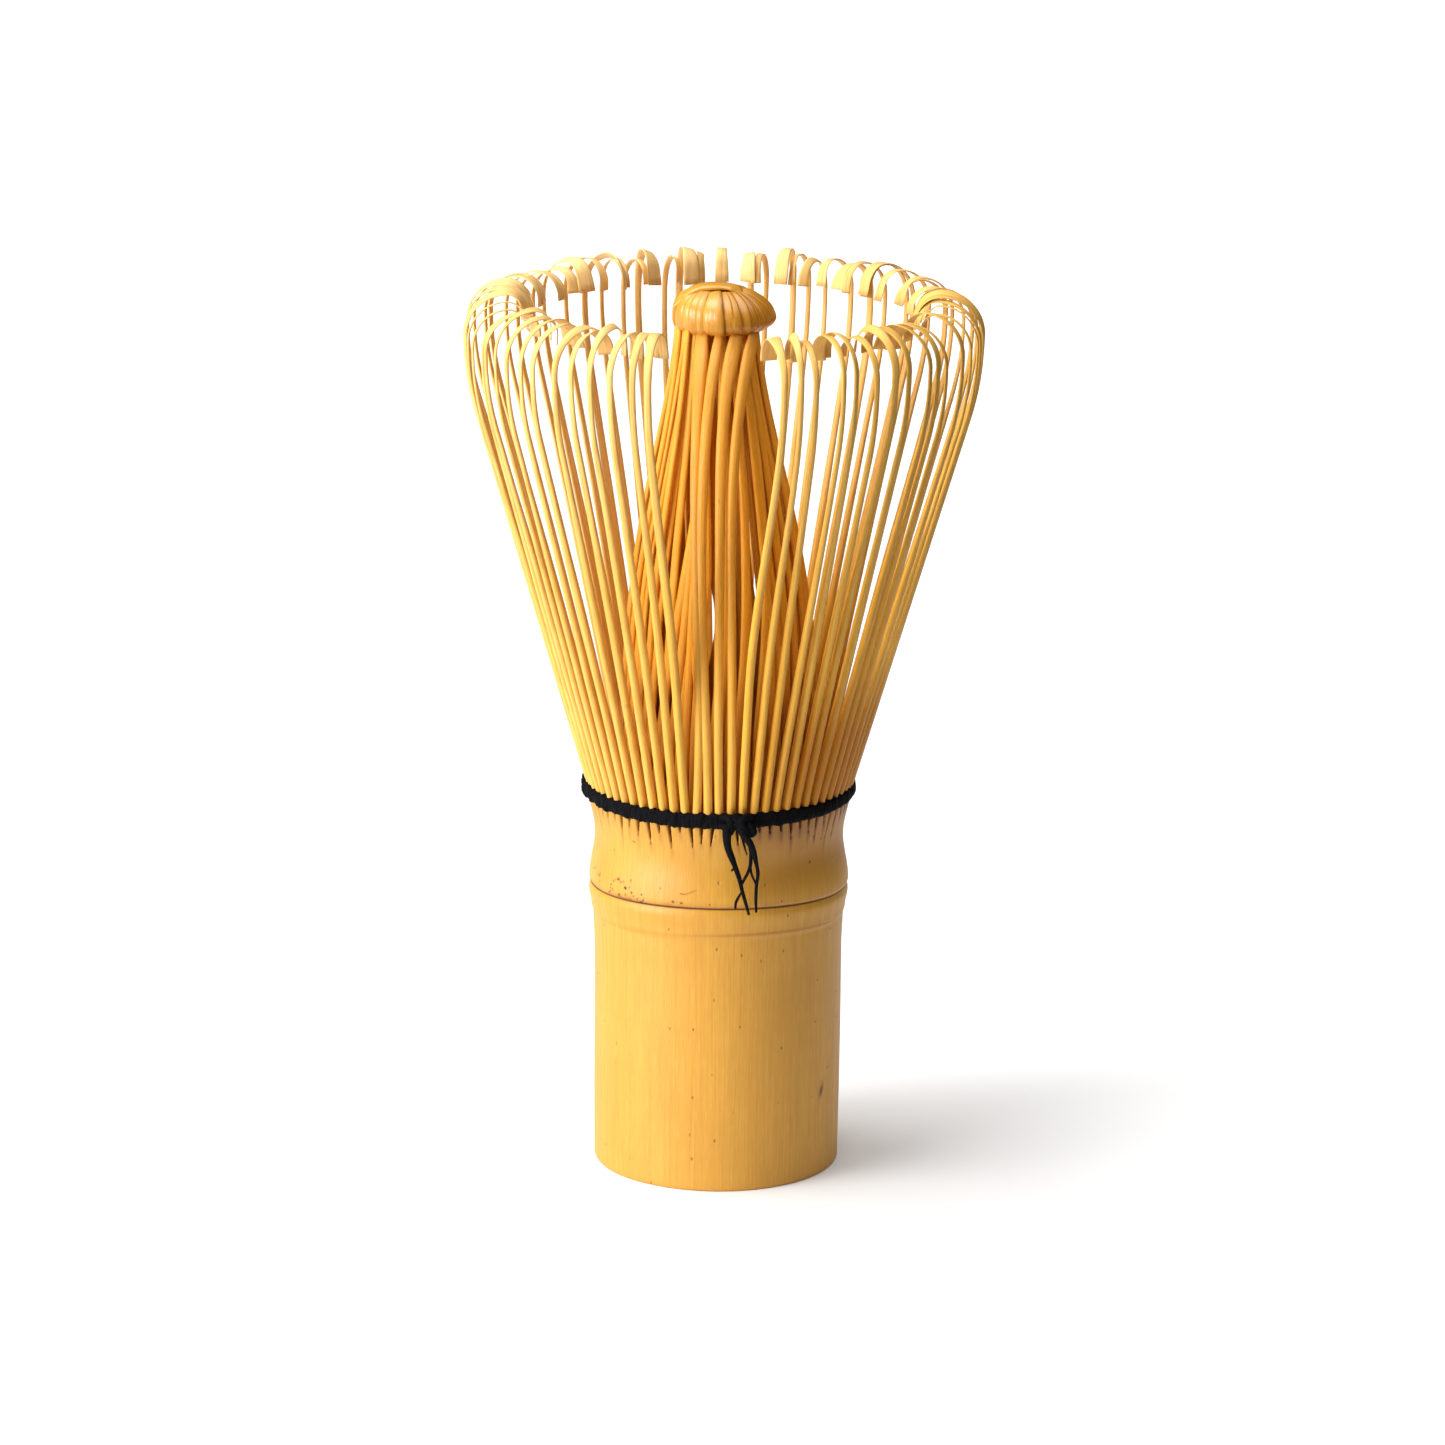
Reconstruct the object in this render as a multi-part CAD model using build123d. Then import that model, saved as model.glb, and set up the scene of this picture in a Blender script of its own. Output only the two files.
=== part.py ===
"""Bamboo tea whisk: a length of culm whose upper wall is split into two rings of thin tines.

The outer tines flare out and hook inwards at their tips, except for a few at the front, which bow
back in and end under the knob. The inner tines lean in to a cone, and their ends are wound into the
knob. A black thread laced round the roots keeps the rings apart.
Millimetres, +Z up the whisk's axis, origin at the centre of the handle's foot. A bearing is an
angle round the axis from the front, -Y, towards +X.
"""

import os
from math import atan2, cos, degrees, hypot, radians, sin, sqrt

from build123d import *

# Handle: the part of the culm below the node, hollow up to the node's own wall.
FOOT_RADIUS = 14.75
HANDLE_RADIUS = 14.85
BORE_RADIUS = 11.5
NODE_HEIGHT = 35.4
NODE_RADIUS = 15.6
RIDGE_HEIGHT = 32.4
RIDGE_RADIUS = 15.3
SWELL_START = 28.6
SWELL_DIRECTION = (0.06, 1)
NODE_EDGE = 1.0
GROOVE_DEPTH = 0.25

# Diaphragm: the wall that closes the culm at its node, let into the top of the handle.
DIAPHRAGM_RADIUS = 12.6
DIAPHRAGM_THICKNESS = 1.8
CUP_RADIUS = 60
CUP_DEPTH = 0.9

# Collar: the unsplit wall between the node and the tines, with a saw kerf between each pair of tines.
LIP_RADIUS = 15.55
LIP_HEIGHT = 36.1
LIP_DIRECTION = (0.6, 1)
NECK_RADIUS = 14.9
NECK_HEIGHT = 40.8
COLLAR_TOP = 46.0
COLLAR_TOP_RADIUS = 15.75
COLLAR_TOP_DIRECTION = (0.29, 1)
THREAD_GROOVE_INNER = 13.05
THREAD_GROOVE_OUTER = 14.35
THREAD_GROOVE_FLOOR = 45.0
KERF_WIDTH = 0.42
KERF_BOTTOM = 43.4
KERF_SPREAD = 0.6
OVERCUT = 1.0

# Tines: their roots stand just above the collar, hidden by the lacing.
TINE_COUNT = 72
TINE_PITCH = 360 / TINE_COUNT
ROOT_HEIGHT = 46.25

OUTER_ROOT_RADIUS = 15.45
OUTER_WIDTH = 0.95
OUTER_THICKNESS = 0.7
OUTER_LEAN = 16.5
OUTER_RUN = 46.85
SHOULDER_RADIUS = 34.0
BROW_RADIUS = 4.8
HOOK_RADIUS = 2.6
HOOK_END = 0.5
TINES_PER_OUTER_GROUP = 4

# Gathered tines: the front few of the outer ring, which end side by side under the knob.
GATHERED_PLACES = range(-2, 2)
GATHERED_ROOT_RADIUS = 15.4
GATHERED_THICKNESS = 0.5
GATHERED_LEAN = 12.0
GATHERED_RUN = 8.0
GATHERED_END_RADIUS = 5.9
GATHERED_END_PITCH = 2.0
GATHERED_END_OFFSET = 1.4
GATHERED_END_DROP = 0.17

INNER_ROOT_HEIGHT = 46.7
INNER_ROOT_RADIUS = 12.35
INNER_WIDTH = 0.55
INNER_THICKNESS = 0.42
INNER_MIDDLE_HEIGHT = 73.75
INNER_MIDDLE_RADII = (10.65, 10.2)
INNER_END_RADII = (5.1, 4.3)
TINES_PER_INNER_GROUP = 6

# Knob: the inner tines' ends, folded over and wound together.
KNOB_BOTTOM = 101.3
KNOB_TOP = 107.2
KNOB_RADIUS = 6.15
KNOB_FOOT_RADIUS = 5.9
KNOB_WIDEST_HEIGHT = 103.6
KNOB_SHOULDER = (4.95, 106.1)
KNOB_DIMPLE = 0.5

# Lacing: one thread, with a run round the outer tines, a run between the rings, a knot and two tails.
BAND_BOTTOM = 45.4
BAND_TOP = 47.3
BAND_BITE = 0.05
BAND_GRIP_TAPER = 0.17
BAND_UNDERCUT = 0.15
BAND_CLEARANCE = 0.2
BAND_THICKNESS = 0.5
INNER_THREAD_WIDTH = 0.9
INNER_THREAD_HEIGHT = 1.0
KNOT_BEARING = 9.0
KNOT_SIZE = (4.6, 1.05, 2.0)
KNOT_CENTRE = (16.95, 46.25)
KNOT_ROUNDING = 0.4
TAIL_RADIUS = 0.4
TAIL_CORNER = 4.0
TAIL_TOP = 44.2
TAIL_END = 35.2
LEFT_TAIL = [(1.1, -17.3, TAIL_TOP), (1.7, -17.0, 41.2), (2.6, -16.8, 38.2), (3.1, -16.5, TAIL_END)]
RIGHT_TAIL = [(3.0, -17.3, TAIL_TOP), (4.3, -17.0, 41.0), (4.5, -16.8, 38.2), (4.6, -16.5, TAIL_END)]


def turned(shape, bearing):
    """A shape drawn along +X, turned round the axis to its bearing."""
    return shape.rotate(Axis.Z, bearing - 90)


def revolved(edges):
    """A ring from the edges of its section, drawn as (radius, height)."""
    return revolve(Plane.XZ * make_face(edges), Axis.Z)


def strip_face(start, lean, steps, thickness):
    """The side view of a thin strip that walks from start, in lines and arcs that turn inwards.

    lean is the first direction's angle out from vertical. A step is a length, or (radius, turn).
    """
    sides = {+1: [], -1: []}
    radius, height = start

    def beside(r, z, angle, side):
        offset = side * thickness / 2
        return (r + offset * cos(radians(angle)), z - offset * sin(radians(angle)))

    for step in steps:
        marks = [(radius, height, lean)]
        if isinstance(step, tuple):
            bend, turn = step
            centre_r = radius - bend * cos(radians(lean))
            centre_z = height + bend * sin(radians(lean))
            for angle in (lean - turn / 2, lean - turn):
                at_r = centre_r + bend * cos(radians(angle))
                at_z = centre_z - bend * sin(radians(angle))
                marks.append((at_r, at_z, angle))
        else:
            end_r = radius + step * sin(radians(lean))
            end_z = height + step * cos(radians(lean))
            marks.append((end_r, end_z, lean))
        for side, edges in sides.items():
            points = [beside(*mark, side) for mark in marks]
            edges.append(ThreePointArc(*points) if len(points) == 3 else Line(*points))
        radius, height, lean = marks[-1]
    root = Line(sides[+1][0] @ 0, sides[-1][0] @ 0)
    tip = Line(sides[+1][-1] @ 1, sides[-1][-1] @ 1)
    return make_face([*sides[+1], *sides[-1], root, tip])


def outer_tine():
    """One outer tine: a straight flare, a shoulder up to vertical, a brow over, and a hook down."""
    steps = [OUTER_RUN, (SHOULDER_RADIUS, OUTER_LEAN), (BROW_RADIUS, 90), (HOOK_RADIUS, 90), HOOK_END]
    face = strip_face((OUTER_ROOT_RADIUS, ROOT_HEIGHT), OUTER_LEAN, steps, OUTER_THICKNESS)
    return extrude(Plane.XZ * face, OUTER_WIDTH / 2, both=True)


def gathered_tine(place):
    """One gathered tine, counted in places from the front one: a short lean out, then a long bow in.

    It lies in the upright plane through its root in the ring and its end under the knob.
    """
    bearing = radians(place * TINE_PITCH)
    root = (GATHERED_ROOT_RADIUS * sin(bearing), -GATHERED_ROOT_RADIUS * cos(bearing))
    end_x = place * GATHERED_END_PITCH + GATHERED_END_OFFSET
    end = (end_x, -sqrt(GATHERED_END_RADIUS**2 - end_x**2))
    outward = (root[0] - end[0], root[1] - end[1])
    lean = radians(GATHERED_LEAN)
    travel = hypot(*outward) + GATHERED_RUN * sin(lean)
    rise = KNOB_BOTTOM - GATHERED_END_DROP - ROOT_HEIGHT - GATHERED_RUN * cos(lean)
    half_turn = atan2(travel, rise) + lean
    bend = hypot(travel, rise) / (2 * sin(half_turn))
    steps = [GATHERED_RUN, (bend, 2 * degrees(half_turn))]
    face = strip_face((0, ROOT_HEIGHT), GATHERED_LEAN, steps, GATHERED_THICKNESS)
    strip = extrude(Plane.XZ * face, OUTER_WIDTH / 2, both=True)
    return Pos(*root, 0) * strip.rotate(Axis.Z, degrees(atan2(outward[1], outward[0])))


def circle_through(a, b, c):
    """The centre and radius of the circle through three points."""
    (ax, ay), (bx, by), (cx, cy) = a, b, c
    d = 2 * (ax * (by - cy) + bx * (cy - ay) + cx * (ay - by))
    a2, b2, c2 = ax * ax + ay * ay, bx * bx + by * by, cx * cx + cy * cy
    x = (a2 * (by - cy) + b2 * (cy - ay) + c2 * (ay - by)) / d
    y = (a2 * (cx - bx) + b2 * (ax - cx) + c2 * (bx - ax)) / d
    return x, y, sqrt((ax - x) ** 2 + (ay - y) ** 2)


def inner_tine(middle_radius, end_radius):
    """One inner tine: a bow that leans in ever faster, cut level at its root and at the knob."""
    x, y, bow = circle_through(
        (INNER_ROOT_RADIUS, INNER_ROOT_HEIGHT),
        (middle_radius, INNER_MIDDLE_HEIGHT),
        (end_radius, KNOB_BOTTOM),
    )
    heights = (INNER_ROOT_HEIGHT, INNER_MIDDLE_HEIGHT, KNOB_BOTTOM)
    arcs = []
    for side in (+1, -1):
        reach = bow + side * INNER_THICKNESS / 2
        arcs.append(ThreePointArc(*[(x + sqrt(reach**2 - (z - y) ** 2), z) for z in heights]))
    root = Line(arcs[0] @ 0, arcs[1] @ 0)
    end = Line(arcs[0] @ 1, arcs[1] @ 1)
    return extrude(Plane.XZ * make_face([*arcs, root, end]), INNER_WIDTH / 2, both=True)


def handle_culm():
    """The hollow handle, swelling to the node, with the diaphragm's seat in its top."""
    crest = NODE_HEIGHT - NODE_EDGE
    outside = Spline(
        (HANDLE_RADIUS, SWELL_START),
        (RIDGE_RADIUS, RIDGE_HEIGHT),
        (NODE_RADIUS, crest),
        tangents=[(0, 1), SWELL_DIRECTION],
    )
    seat = NODE_HEIGHT - DIAPHRAGM_THICKNESS
    return revolved([
        Line((BORE_RADIUS, 0), (FOOT_RADIUS, 0)),
        Line((FOOT_RADIUS, 0), (HANDLE_RADIUS, SWELL_START)),
        outside,
        Line((NODE_RADIUS, crest), (NODE_RADIUS - GROOVE_DEPTH, NODE_HEIGHT)),
        Line((NODE_RADIUS - GROOVE_DEPTH, NODE_HEIGHT), (DIAPHRAGM_RADIUS, NODE_HEIGHT)),
        Line((DIAPHRAGM_RADIUS, NODE_HEIGHT), (DIAPHRAGM_RADIUS, seat)),
        Line((DIAPHRAGM_RADIUS, seat), (BORE_RADIUS, seat)),
        Line((BORE_RADIUS, seat), (BORE_RADIUS, 0)),
    ])


def node_diaphragm():
    """The culm's own cross wall, a slightly cupped disc."""
    seat = NODE_HEIGHT - DIAPHRAGM_THICKNESS
    disc = Pos(0, 0, seat) * Cylinder(
        DIAPHRAGM_RADIUS, DIAPHRAGM_THICKNESS, align=(Align.CENTER, Align.CENTER, Align.MIN)
    )
    return disc - Pos(0, 0, NODE_HEIGHT - CUP_DEPTH + CUP_RADIUS) * Sphere(CUP_RADIUS)


def tine_collar():
    """The waisted collar, with a channel for the inner thread and a kerf between neighbouring tines."""
    outside = Spline(
        (NODE_RADIUS - GROOVE_DEPTH, NODE_HEIGHT),
        (LIP_RADIUS, LIP_HEIGHT),
        (NECK_RADIUS, NECK_HEIGHT),
        (COLLAR_TOP_RADIUS, COLLAR_TOP),
        tangents=[LIP_DIRECTION, COLLAR_TOP_DIRECTION],
    )
    ring = revolved([
        outside,
        Line((COLLAR_TOP_RADIUS, COLLAR_TOP), (THREAD_GROOVE_OUTER, COLLAR_TOP)),
        Line((THREAD_GROOVE_OUTER, COLLAR_TOP), (THREAD_GROOVE_OUTER, THREAD_GROOVE_FLOOR)),
        Line((THREAD_GROOVE_OUTER, THREAD_GROOVE_FLOOR), (THREAD_GROOVE_INNER, THREAD_GROOVE_FLOOR)),
        Line((THREAD_GROOVE_INNER, THREAD_GROOVE_FLOOR), (THREAD_GROOVE_INNER, COLLAR_TOP)),
        Line((THREAD_GROOVE_INNER, COLLAR_TOP), (BORE_RADIUS, COLLAR_TOP)),
        Line((BORE_RADIUS, COLLAR_TOP), (BORE_RADIUS, NODE_HEIGHT)),
        Line((BORE_RADIUS, NODE_HEIGHT), (NODE_RADIUS - GROOVE_DEPTH, NODE_HEIGHT)),
    ])
    kerfs = []
    over = COLLAR_TOP + OVERCUT
    for i in range(TINE_COUNT):
        bottom = KERF_BOTTOM + KERF_SPREAD * (i * 7 % 5 - 2) / 2
        half = KERF_WIDTH / 2 * (over - bottom) / (COLLAR_TOP - bottom)
        wedge = make_face(Polyline((0, bottom), (half, over), (-half, over), close=True))
        reach = NODE_RADIUS - BORE_RADIUS + 2 * OVERCUT
        kerf = extrude(Plane.YZ.offset(BORE_RADIUS - OVERCUT) * wedge, reach)
        kerfs.append(turned(kerf, (i + 0.5) * TINE_PITCH))
    return ring - kerfs


def lacing_band():
    """The outer run of thread: tight on the collar's rim, and just clear of the tines above it."""
    grip = COLLAR_TOP_RADIUS - BAND_BITE
    rise = (BAND_TOP - COLLAR_TOP) * sin(radians(OUTER_LEAN))
    clear = OUTER_ROOT_RADIUS + OUTER_THICKNESS / 2 + BAND_CLEARANCE
    outer = COLLAR_TOP_RADIUS + BAND_THICKNESS + BAND_CLEARANCE
    low = (outer - BAND_UNDERCUT, BAND_BOTTOM)
    middle = (outer + rise / 3, (BAND_BOTTOM + BAND_TOP) / 2)
    high = (outer + rise / 2, BAND_TOP)
    return revolved([
        Line((grip - BAND_GRIP_TAPER, BAND_BOTTOM), (grip, COLLAR_TOP)),
        Line((grip, COLLAR_TOP), (clear, COLLAR_TOP)),
        Line((clear, COLLAR_TOP), (clear + rise, BAND_TOP)),
        Line((clear + rise, BAND_TOP), high),
        ThreePointArc(high, middle, low),
        Line(low, (grip - BAND_GRIP_TAPER, BAND_BOTTOM)),
    ])


def lacing_inner_run():
    """The run of thread between the rings of tines, lying in the collar's channel."""
    middle = (THREAD_GROOVE_INNER + THREAD_GROOVE_OUTER) / 2
    low = THREAD_GROOVE_FLOOR
    high = low + INNER_THREAD_HEIGHT
    left = middle - INNER_THREAD_WIDTH / 2
    right = middle + INNER_THREAD_WIDTH / 2
    shoulder = high - INNER_THREAD_WIDTH / 2
    return revolved([
        Line((left, low), (right, low)),
        Line((right, low), (right, shoulder)),
        ThreePointArc((right, shoulder), (middle, high), (left, shoulder)),
        Line((left, shoulder), (left, low)),
    ])


def lacing_knot():
    """The knot on the front of the band."""
    block = fillet(Box(*KNOT_SIZE).edges(), KNOT_ROUNDING)
    return turned(Pos(KNOT_CENTRE[0], 0, KNOT_CENTRE[1]) * Rot(0, 0, 90) * block, KNOT_BEARING)


def thread_tail(points):
    """One hanging end of the thread, in straight runs joined by arcs."""
    path = FilletPolyline(*points, radius=TAIL_CORNER)
    section = Plane(origin=path @ 0, z_dir=path % 0) * Circle(TAIL_RADIUS)
    return sweep(section, path)


def tip_knob():
    """The knob: a flattened ball, flat below where the tines enter it, with a dimple on top."""
    outside = Spline(
        (KNOB_FOOT_RADIUS, KNOB_BOTTOM),
        (KNOB_RADIUS, KNOB_WIDEST_HEIGHT),
        KNOB_SHOULDER,
        (KNOB_RADIUS / 3, KNOB_TOP),
        (0, KNOB_TOP - KNOB_DIMPLE),
        tangents=[(0, 1), (-1, 0)],
    )
    return revolved([
        outside,
        Line((0, KNOB_TOP - KNOB_DIMPLE), (0, KNOB_BOTTOM)),
        Line((0, KNOB_BOTTOM), (KNOB_FOOT_RADIUS, KNOB_BOTTOM)),
    ])


def grouped(tines, first, size):
    """Neighbouring tines from a first place onwards, in groups of a size, each group as one compound."""
    placed = [turned(tine, (first + i) * TINE_PITCH) for i, tine in enumerate(tines)]
    return [Compound(children=placed[i : i + size]) for i in range(0, len(placed), size)]


def whisk():
    """Every sub-part of the whisk, by name."""
    parts = {
        "handle_culm": handle_culm(),
        "node_diaphragm": node_diaphragm(),
        "tine_collar": tine_collar(),
        "lacing_band": lacing_band(),
        "lacing_inner_run": lacing_inner_run(),
        "lacing_knot": lacing_knot(),
        "thread_tail_left": thread_tail(LEFT_TAIL),
        "thread_tail_right": thread_tail(RIGHT_TAIL),
        "tip_knob": tip_knob(),
    }
    outer = [outer_tine()] * (TINE_COUNT - len(GATHERED_PLACES))
    for number, group in enumerate(grouped(outer, GATHERED_PLACES.stop, TINES_PER_OUTER_GROUP), 1):
        parts[f"outer_tines_{number:02d}"] = group
    parts["gathered_tines"] = Compound(children=[gathered_tine(place) for place in GATHERED_PLACES])
    layers = [inner_tine(*radii) for radii in zip(INNER_MIDDLE_RADII, INNER_END_RADII)]
    inner = layers * (TINE_COUNT // len(layers))
    for number, group in enumerate(grouped(inner, 0, TINES_PER_INNER_GROUP), 1):
        parts[f"inner_tines_{number:02d}"] = group
    return parts


os.makedirs("parts", exist_ok=True)
for name, shape in whisk().items():
    export_step(shape, f"parts/{name}.step")
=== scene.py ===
"""Looks of a bamboo tea whisk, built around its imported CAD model.

Lengths are millimetres until a mesh is made, and metres in Blender. A bearing is an angle round the
whisk's axis from the front, -Y, towards +X. "Across" and "along" are a strip's own directions.
"""

import random
from math import atan2, cos, degrees, hypot, pi, radians, sin, sqrt

import bpy
import numpy as np
from mathutils import Matrix, Vector, noise


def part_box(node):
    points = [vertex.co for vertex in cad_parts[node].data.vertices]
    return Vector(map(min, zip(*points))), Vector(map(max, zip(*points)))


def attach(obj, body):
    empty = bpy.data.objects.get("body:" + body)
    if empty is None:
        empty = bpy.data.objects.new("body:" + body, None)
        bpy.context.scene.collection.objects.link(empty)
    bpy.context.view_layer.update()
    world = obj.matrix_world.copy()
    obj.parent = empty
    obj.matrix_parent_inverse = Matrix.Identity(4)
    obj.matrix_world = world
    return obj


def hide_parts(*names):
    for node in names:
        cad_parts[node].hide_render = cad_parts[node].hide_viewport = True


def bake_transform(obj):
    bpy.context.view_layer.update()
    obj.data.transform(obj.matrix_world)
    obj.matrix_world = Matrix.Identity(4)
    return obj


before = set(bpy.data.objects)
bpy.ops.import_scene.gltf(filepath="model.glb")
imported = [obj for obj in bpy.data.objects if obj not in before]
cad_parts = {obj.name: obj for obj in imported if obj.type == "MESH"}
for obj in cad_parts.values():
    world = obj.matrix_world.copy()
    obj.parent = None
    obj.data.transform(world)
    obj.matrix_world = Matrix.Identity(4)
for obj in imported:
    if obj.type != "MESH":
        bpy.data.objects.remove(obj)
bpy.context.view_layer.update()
MM = 0.001
UP = np.array([0, 0, 1.0])

# Seeds of the small errors of hand, one for each part.
COLLAR_SEED = 7
OUTER_SEED = 5
GATHERED_SEED = 21
INNER_SEED = 9
KNOB_SEED = 3

# Heights and radii that the frame gives, in millimetres.
BAND_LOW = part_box("lacing_band")[0].z / MM
BAND_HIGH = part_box("lacing_band")[1].z / MM
COLLAR_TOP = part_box("tine_collar")[1].z / MM
NODE_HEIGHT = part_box("tine_collar")[0].z / MM
KNOB_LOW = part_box("tip_knob")[0].z / MM
KNOB_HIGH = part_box("tip_knob")[1].z / MM
KNOB_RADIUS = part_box("tip_knob")[1].x / MM
OUTER_GROUPS = sorted(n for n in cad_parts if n.startswith("outer_tines"))
INNER_GROUPS = sorted(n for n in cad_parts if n.startswith("inner_tines"))
TINE_COUNT = 72
TINE_PITCH = 360 / TINE_COUNT

# Places round the ring, counted from the front: the gathered tines', then the outer ring's first.
GATHERED_PLACES = range(-2, 2)
FIRST_OUTER_PLACE = 2


# ---------------------------------------------------------------- meshes

def smooth(t):
    """Smoothstep of t, held to 0 and 1 outside."""
    t = np.clip(t, 0, 1)
    return t * t * (3 - 2 * t)


def between(x, points):
    """A value at x from (x, value) points, eased between each pair."""
    xs, ys = np.array(points, float).T
    x = np.asarray(x, float)
    i = np.clip(np.searchsorted(xs, x) - 1, 0, len(xs) - 2)
    t = smooth((x - xs[i]) / (xs[i + 1] - xs[i]))
    return ys[i] + (ys[i + 1] - ys[i]) * t


def bell(x):
    """A smooth bump of x: 1 at 0, and all but gone by 2.5."""
    return np.exp(-np.minimum(x * x, 30))


def unit(v):
    """Vectors scaled to a length of 1."""
    return v / np.maximum(np.linalg.norm(v, axis=-1, keepdims=True), 1e-9)


def polar(radius, bearing, height):
    """Points from radii, bearings in degrees and heights."""
    a = np.radians(bearing)
    return np.stack(np.broadcast_arrays(radius * np.sin(a), -radius * np.cos(a), height), -1)


class Form:
    """Vertices, faces and per-vertex attributes, gathered into one mesh."""

    def __init__(self):
        self.points = []
        self.faces = []
        self.grain = []
        self.tone = []
        self.count = 0

    def add(self, points, faces, grain, tone):
        self.points.append(points)
        self.faces += [[i + self.count for i in face] for face in faces]
        self.grain.append(grain)
        self.tone.append(np.broadcast_to(tone, len(points)))
        self.count += len(points)

    def piece(self, name, material):
        """A Blender object in metres, with the grain and tone attributes that the materials read."""
        mesh = bpy.data.meshes.new(name)
        points = np.concatenate(self.points) * MM
        mesh.from_pydata(points.tolist(), [], self.faces)
        grain = mesh.attributes.new("grain", "FLOAT_VECTOR", "POINT")
        grain.data.foreach_set("vector", np.concatenate(self.grain).astype(np.float32).ravel())
        tone = mesh.attributes.new("tone", "FLOAT", "POINT")
        tone.data.foreach_set("value", np.concatenate(self.tone).astype(np.float32))
        mesh.polygons.foreach_set("use_smooth", [True] * len(mesh.polygons))
        mesh.update()
        mesh.materials.append(material)
        obj = bpy.data.objects.new(name, mesh)
        bpy.context.scene.collection.objects.link(obj)
        return obj


# A strip's section, as (across, outward) in half widths: a rounded skin side and a flatter inside.
STRIP_SECTION = [
    (-1.0, -0.25), (-0.86, 0.55), (-0.45, 0.95), (0.0, 1.05), (0.45, 0.95), (0.86, 0.55), (1.0, -0.25),
    (0.8, -0.92), (0.0, -1.0), (-0.8, -0.92),
]
FLAT_SECTION = [
    (-1.0, -0.5), (-0.94, 0.62), (-0.5, 0.93), (0.0, 1.0), (0.5, 0.93), (0.94, 0.62), (1.0, -0.5),
    (0.8, -1.0), (0.0, -1.0), (-0.8, -1.0),
]
ROUND_SECTION = [(sin(2 * pi * i / 10), cos(2 * pi * i / 10)) for i in range(10)]


def sweep(form, path, side, width, thickness, seed, tone, section=STRIP_SECTION):
    """Adds a closed strip along a path. side is the direction of its width at each point."""
    path = np.asarray(path, float)
    n = len(path)
    ahead = unit(np.gradient(path, axis=0))
    side = unit(side - np.sum(side * ahead, -1, keepdims=True) * ahead)
    out = np.cross(side, ahead)
    width = np.broadcast_to(width, n)
    thickness = np.broadcast_to(thickness, n)
    u, v = np.array(section).T
    k = len(section)
    rings = (
        path[:, None]
        + side[:, None] * (u[None, :, None] * width[:, None, None] / 2)
        + out[:, None] * (v[None, :, None] * thickness[:, None, None] / 2)
    )
    along = np.concatenate([[0], np.cumsum(np.linalg.norm(np.diff(path, axis=0), axis=1))])
    grain = np.zeros((n, k, 3))
    grain[..., 0] = u[None] * width[:, None] / 2 + v[None] * 0.3
    grain[..., 1] = along[:, None]
    grain[..., 2] = seed
    faces = []
    for i in range(n - 1):
        for j in range(k):
            a, b = i * k + j, i * k + (j + 1) % k
            faces.append([a, b, b + k, a + k])
    faces.append(list(range(k))[::-1])
    faces.append([(n - 1) * k + j for j in range(k)])
    tones = np.repeat(np.broadcast_to(tone, n), k)
    form.add(rings.reshape(-1, 3), faces, grain.reshape(-1, 3), tones)


# Fibres run straight up the culm, so their places go by the bearing alone.
GRAIN_RADIUS = 15.0


def revolve(form, loop, count, shape, tone=None):
    """Adds a ring from a closed loop of (radius, height) points, each moved by shape(bearing, r, z)."""
    bearings = np.arange(count) * 360 / count
    loop = np.asarray(loop, float)
    k = len(loop)
    r, z = shape(bearings[:, None], loop[None, :, 0], loop[None, :, 1])
    points = polar(r, bearings[:, None], z)
    grain = np.zeros((count, k, 3))
    grain[..., 0] = np.radians((bearings + 180) % 360)[:, None] * GRAIN_RADIUS
    grain[..., 1] = z
    tones = np.zeros((count, k)) if tone is None else tone(bearings[:, None], r, z)
    faces = []
    for i in range(count):
        j = (i + 1) % count
        for a in range(k):
            b = (a + 1) % k
            faces.append([i * k + a, j * k + a, j * k + b, i * k + b])
    form.add(points.reshape(-1, 3), faces, grain.reshape(-1, 3), tones.ravel())


def curve_through(points, count):
    """A smooth Catmull-Rom curve through points."""
    p = np.asarray(points, float)
    p = np.concatenate([2 * p[:1] - p[1:2], p, 2 * p[-1:] - p[-2:-1]])
    t = np.linspace(0, len(p) - 3 - 1e-9, count)
    i = t.astype(int)
    f = (t - i)[:, None]
    a, b, c, d = p[i], p[i + 1], p[i + 2], p[i + 3]
    return 0.5 * (2 * b + (c - a) * f + (2 * a - 5 * b + 4 * c - d) * f**2 + (3 * b - a - 3 * c + d) * f**3)


# ---------------------------------------------------------------- materials

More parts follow.
